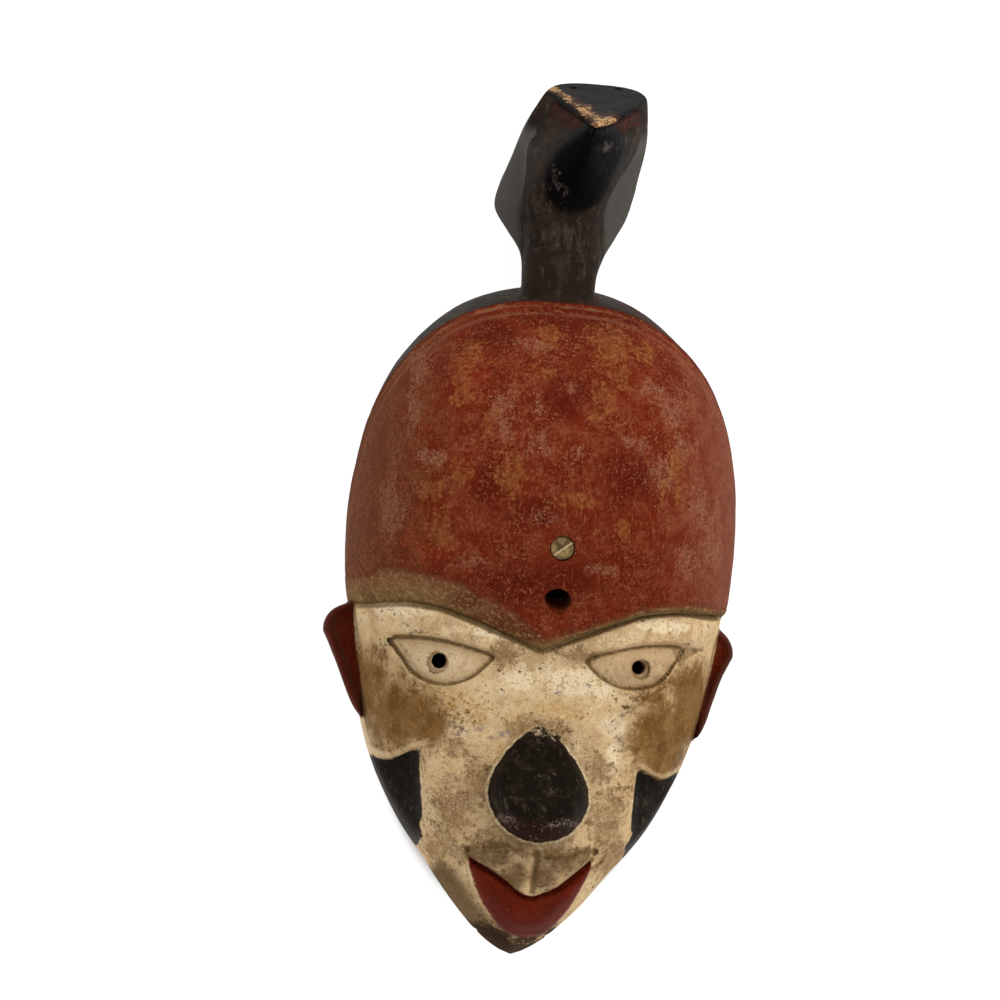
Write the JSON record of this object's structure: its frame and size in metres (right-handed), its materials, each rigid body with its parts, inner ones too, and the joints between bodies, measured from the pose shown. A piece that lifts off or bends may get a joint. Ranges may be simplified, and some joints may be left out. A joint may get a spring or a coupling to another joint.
{
  "type": "carved face mask",
  "caption": "Hollow carved wooden face mask with a domed red forehead, pointed cream face, black ball nose, small ears and an animal-head crest.",
  "frame": {"origin": "on the plane of the mask's back rim, under the middle of its bounding box", "axes": "+X to the right of someone facing the mask, +Y from the chin to the crest, +Z out of the face, up as the mask lies on its rim"},
  "size_m": [0.1778, 0.38, 0.1009],
  "materials": {
    "painted_wood": "worn matt paint",
    "raw_wood": "raw, broken end grain"
  },
  "bodies": {
    "root": {"carved_mask": "painted_wood", "forehead_peg": "raw_wood"}
  },
  "joints": []
}
